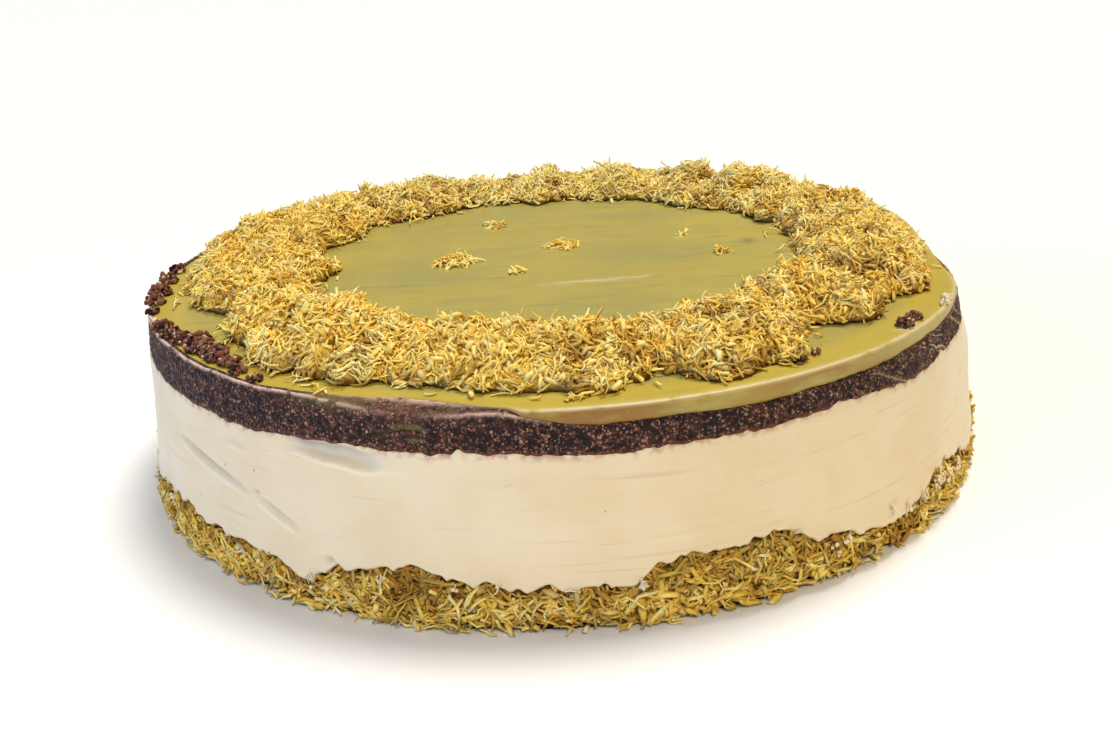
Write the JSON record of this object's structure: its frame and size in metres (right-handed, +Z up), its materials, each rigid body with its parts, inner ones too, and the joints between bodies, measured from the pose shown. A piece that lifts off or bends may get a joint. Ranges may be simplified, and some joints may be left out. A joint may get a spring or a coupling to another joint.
{
  "type": "kunafa cheesecake",
  "caption": "Round layered cheesecake: a base of toasted kunafa shreds, thick cream, chocolate crumb, pistachio cream and a ring of loose shreds on top.",
  "frame": {"origin": "on the cake's axis, in the plane it stands on", "axes": "+Z up along the cake's axis, front of the picture towards -Y, +X to the viewer's right"},
  "size_m": [0.2762, 0.2752, 0.0734],
  "materials": {
    "toasted_kunafa": "matte",
    "cream": "satin",
    "chocolate_crumb": "matte",
    "pistachio": "satin",
    "golden_kunafa": "matte"
  },
  "bodies": {
    "root": {"kunafa_base": "toasted_kunafa", "cheesecake_cream": "cream", "chocolate_layer": "chocolate_crumb", "pistachio_cream": "pistachio", "kunafa_ring": "golden_kunafa"}
  },
  "joints": []
}
